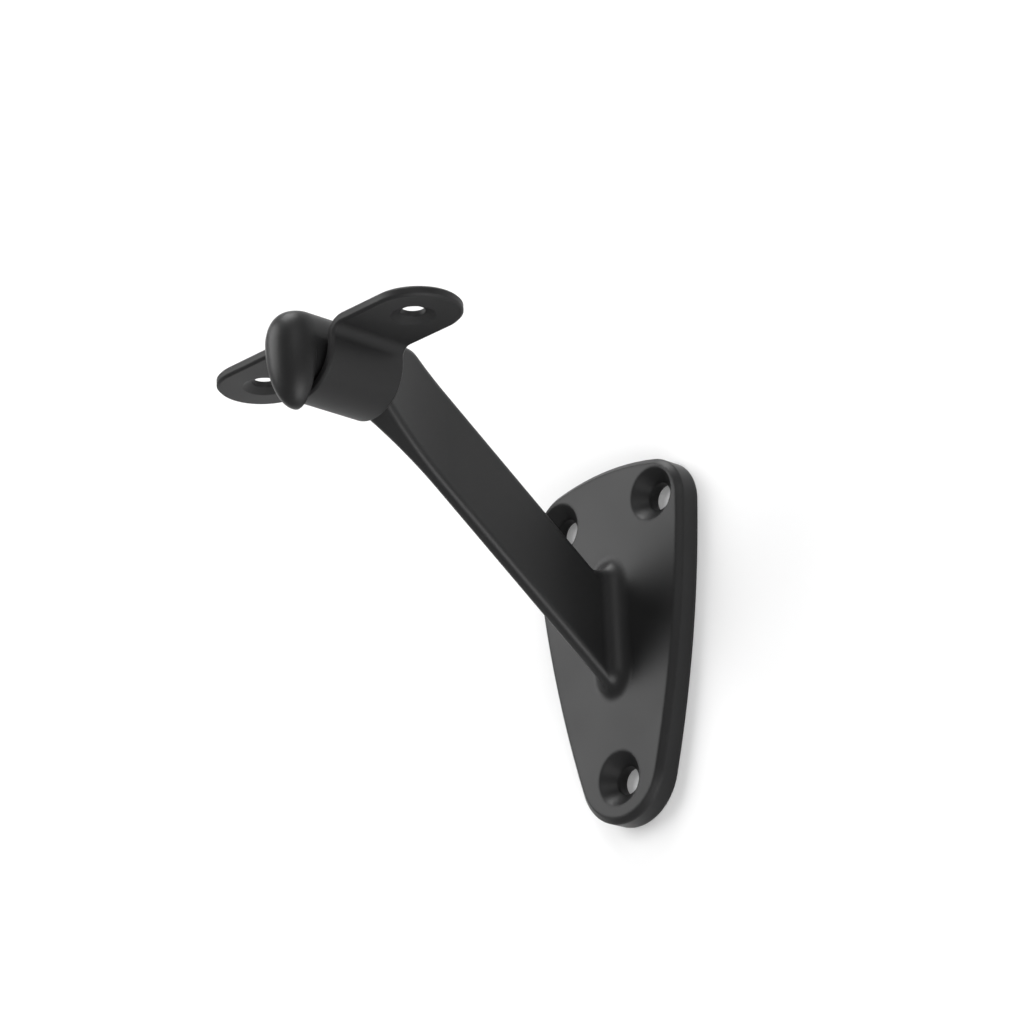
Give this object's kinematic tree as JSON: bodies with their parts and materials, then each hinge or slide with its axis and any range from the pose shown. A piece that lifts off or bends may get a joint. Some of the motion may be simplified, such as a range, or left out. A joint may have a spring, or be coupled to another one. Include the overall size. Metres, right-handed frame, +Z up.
{
  "type": "handrail bracket",
  "caption": "Wall bracket that carries a handrail on a slanted arm, with a countersunk wall plate and a screw-on strap under the rail.",
  "frame": {"origin": "middle of the wall plate's back face", "axes": "+Y into the wall, +Z up, X along the rail; the arm reaches out along -Y"},
  "size_m": [0.0546, 0.0808, 0.0755],
  "materials": {
    "bracket": "satin black powder coat",
    "rail_strap": "satin black powder coat"
  },
  "bodies": {
    "root": {"bracket": "bracket", "rail_strap": "rail_strap"}
  },
  "joints": []
}
